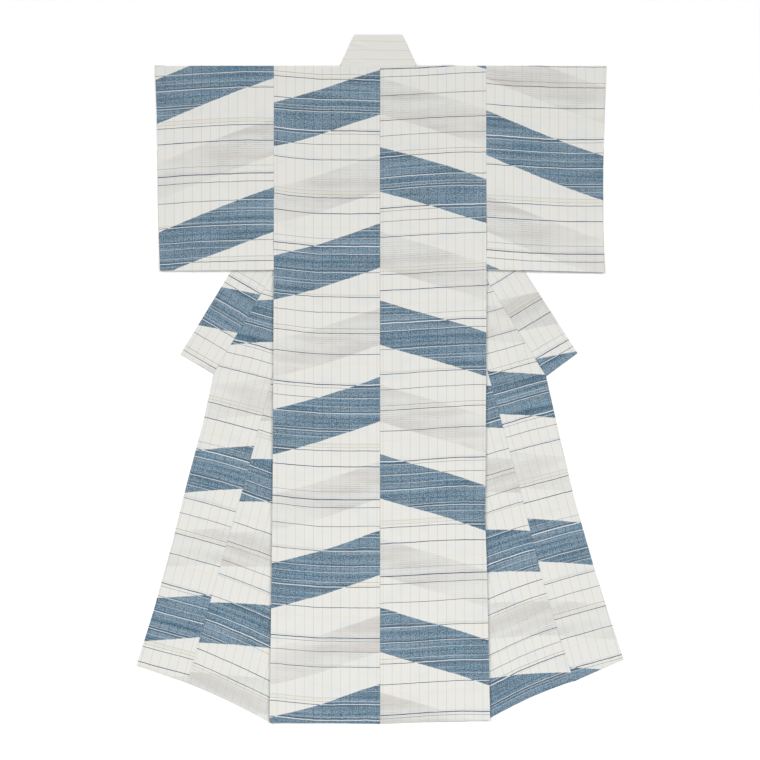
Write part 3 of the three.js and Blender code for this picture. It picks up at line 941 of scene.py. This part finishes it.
def kasuri_silk():
    """Hand-spun plain weave: arrow feathers dyed into the weft, thin stripes in warp and weft."""
    silk = Silk("kasuri silk")
    yarn = Yarn(silk)

    # Arrow feathers, with each small bundle of weft threads a little off its mark.
    bundle = silk.math("FLOOR", yarn.v / BUNDLE)
    slip = silk.stray(bundle * 0.73, 0.0, 9.0, BUNDLE_SLIP)
    across = (yarn.u + slip + PANEL_HALF) / FEATHER_WIDTH
    place = silk.math("FRACT", (yarn.v + FEATHER_RISE * across) / FEATHER_PERIOD)
    soft = FEATHER_EDGE / FEATHER_PERIOD
    blue = silk.within(place, *BLUE_PART, soft)
    faded = silk.limited(1.2 - 0.75 * across + (yarn.cloud - 0.5) * 1.5)
    grey = silk.within(place, *GREY_PART, soft * 3) * faded

    # Undyed thread, grey thread with short dark hatches, and thread from two dips of indigo.
    cream = silk.mix(silk.limited(yarn.cloud * 2 - 0.5), WARM_CREAM, CREAM)
    cool = silk.limited(silk.stray(yarn.u * 14, yarn.v * 22, 13.0, 3))
    cream = silk.mix(cool, cream, COOL_CREAM)
    shade = silk.limited(0.5 + silk.stray(yarn.u * 3, yarn.v * 30, 15.0, 4))
    greys = silk.mix(shade, WARM_GREY, COOL_GREY)
    rung = yarn.v / HATCH_PERIOD + (yarn.slub - 0.5) * 0.4 + yarn.band * 0.8
    hatch = silk.math("FRACT", rung) < HATCH_PART
    patch = silk.noise(yarn.u * 8, yarn.v * 42, 19.0, 2.0)
    hatch = hatch * silk.limited(yarn.grain * 0.6 + patch * 2.2 - 1.0)
    greys = silk.mix(hatch, greys, GREY_THREAD)
    light = (yarn.slub - 0.5) + (yarn.grain - 0.5) * 3.4 + (yarn.band - 0.5) * 1.7
    light = silk.limited(0.5 + light + (yarn.cloud - 0.5) * 0.5)
    dip = silk.limited(0.22 + silk.stray(yarn.u * 8, yarn.v * 130, 23.0, 3, 2.0))
    first_dye = silk.mix(light, DEEP_INDIGO, LIGHT_INDIGO)
    second_dye = silk.mix(light, DEEP_BLUE, LIGHT_BLUE)
    indigo = silk.mix(dip, first_dye, second_dye)
    colour = silk.mix(blue, silk.mix(grey, cream, greys), indigo)
    ochre_warp = silk.mix(blue, OCHRE_WARP, DARK_WARP)
    grey_warp = silk.mix(blue, GREY_WARP, DARK_WARP)
    colour = warp_striped(silk, yarn, colour, ochre_warp, grey_warp, 0.5 + 0.2 * blue)

    # Stripes in the weft, dark on the undyed silk and undyed on the blue.
    order = silk.math("WRAP", yarn.v, STRIPE_REPEAT, 0.0)
    broken = 0.6 + 0.6 * silk.noise(yarn.u * 22, yarn.v * 300, 11.0)
    undyed = 1 - blue
    colour = silk.mix(silk.stripes(order, PALE_STRIPES) * undyed, colour, PALE_GREY)
    colour = silk.mix(silk.stripes(order, OCHRE_STRIPES) * undyed * broken, colour, OCHRE)
    colour = silk.mix(silk.stripes(order, DARK_STRIPES) * blue * 0.75, colour, DARK_THREAD)
    colour = silk.mix(silk.stripes(order, UNDYED_STRIPES) * blue * broken, colour, WHITE_THREAD)
    fine = silk.mix(blue, NAVY, WHITE_THREAD)
    colour = silk.mix(silk.stripes(order, FINE_STRIPES) * broken, colour, fine)
    return finish_silk(silk, yarn, colour)


# ---------------------------------------------------------------- the kimono

# Where the lengths start in the pattern, in metres.
SIDE_START = {"left": 0.0, "right": 0.215}
SLEEVE_START, OVERLAP_START, COLLAR_START = 5.2, 7.1, 8.9

add_camera()
add_floor()
add_light()
kasuri = kasuri_silk()
for side_name, half in HALVES.items():
    start = SIDE_START[side_name]
    body_panel(side_name, half, kasuri, start)
    sleeve(side_name, half, kasuri, start + SLEEVE_START)
    overlap_panel(side_name, half, kasuri, start + OVERLAP_START)
    collar_half(side_name, half, kasuri, start + COLLAR_START)
neck_collar(plain_silk())
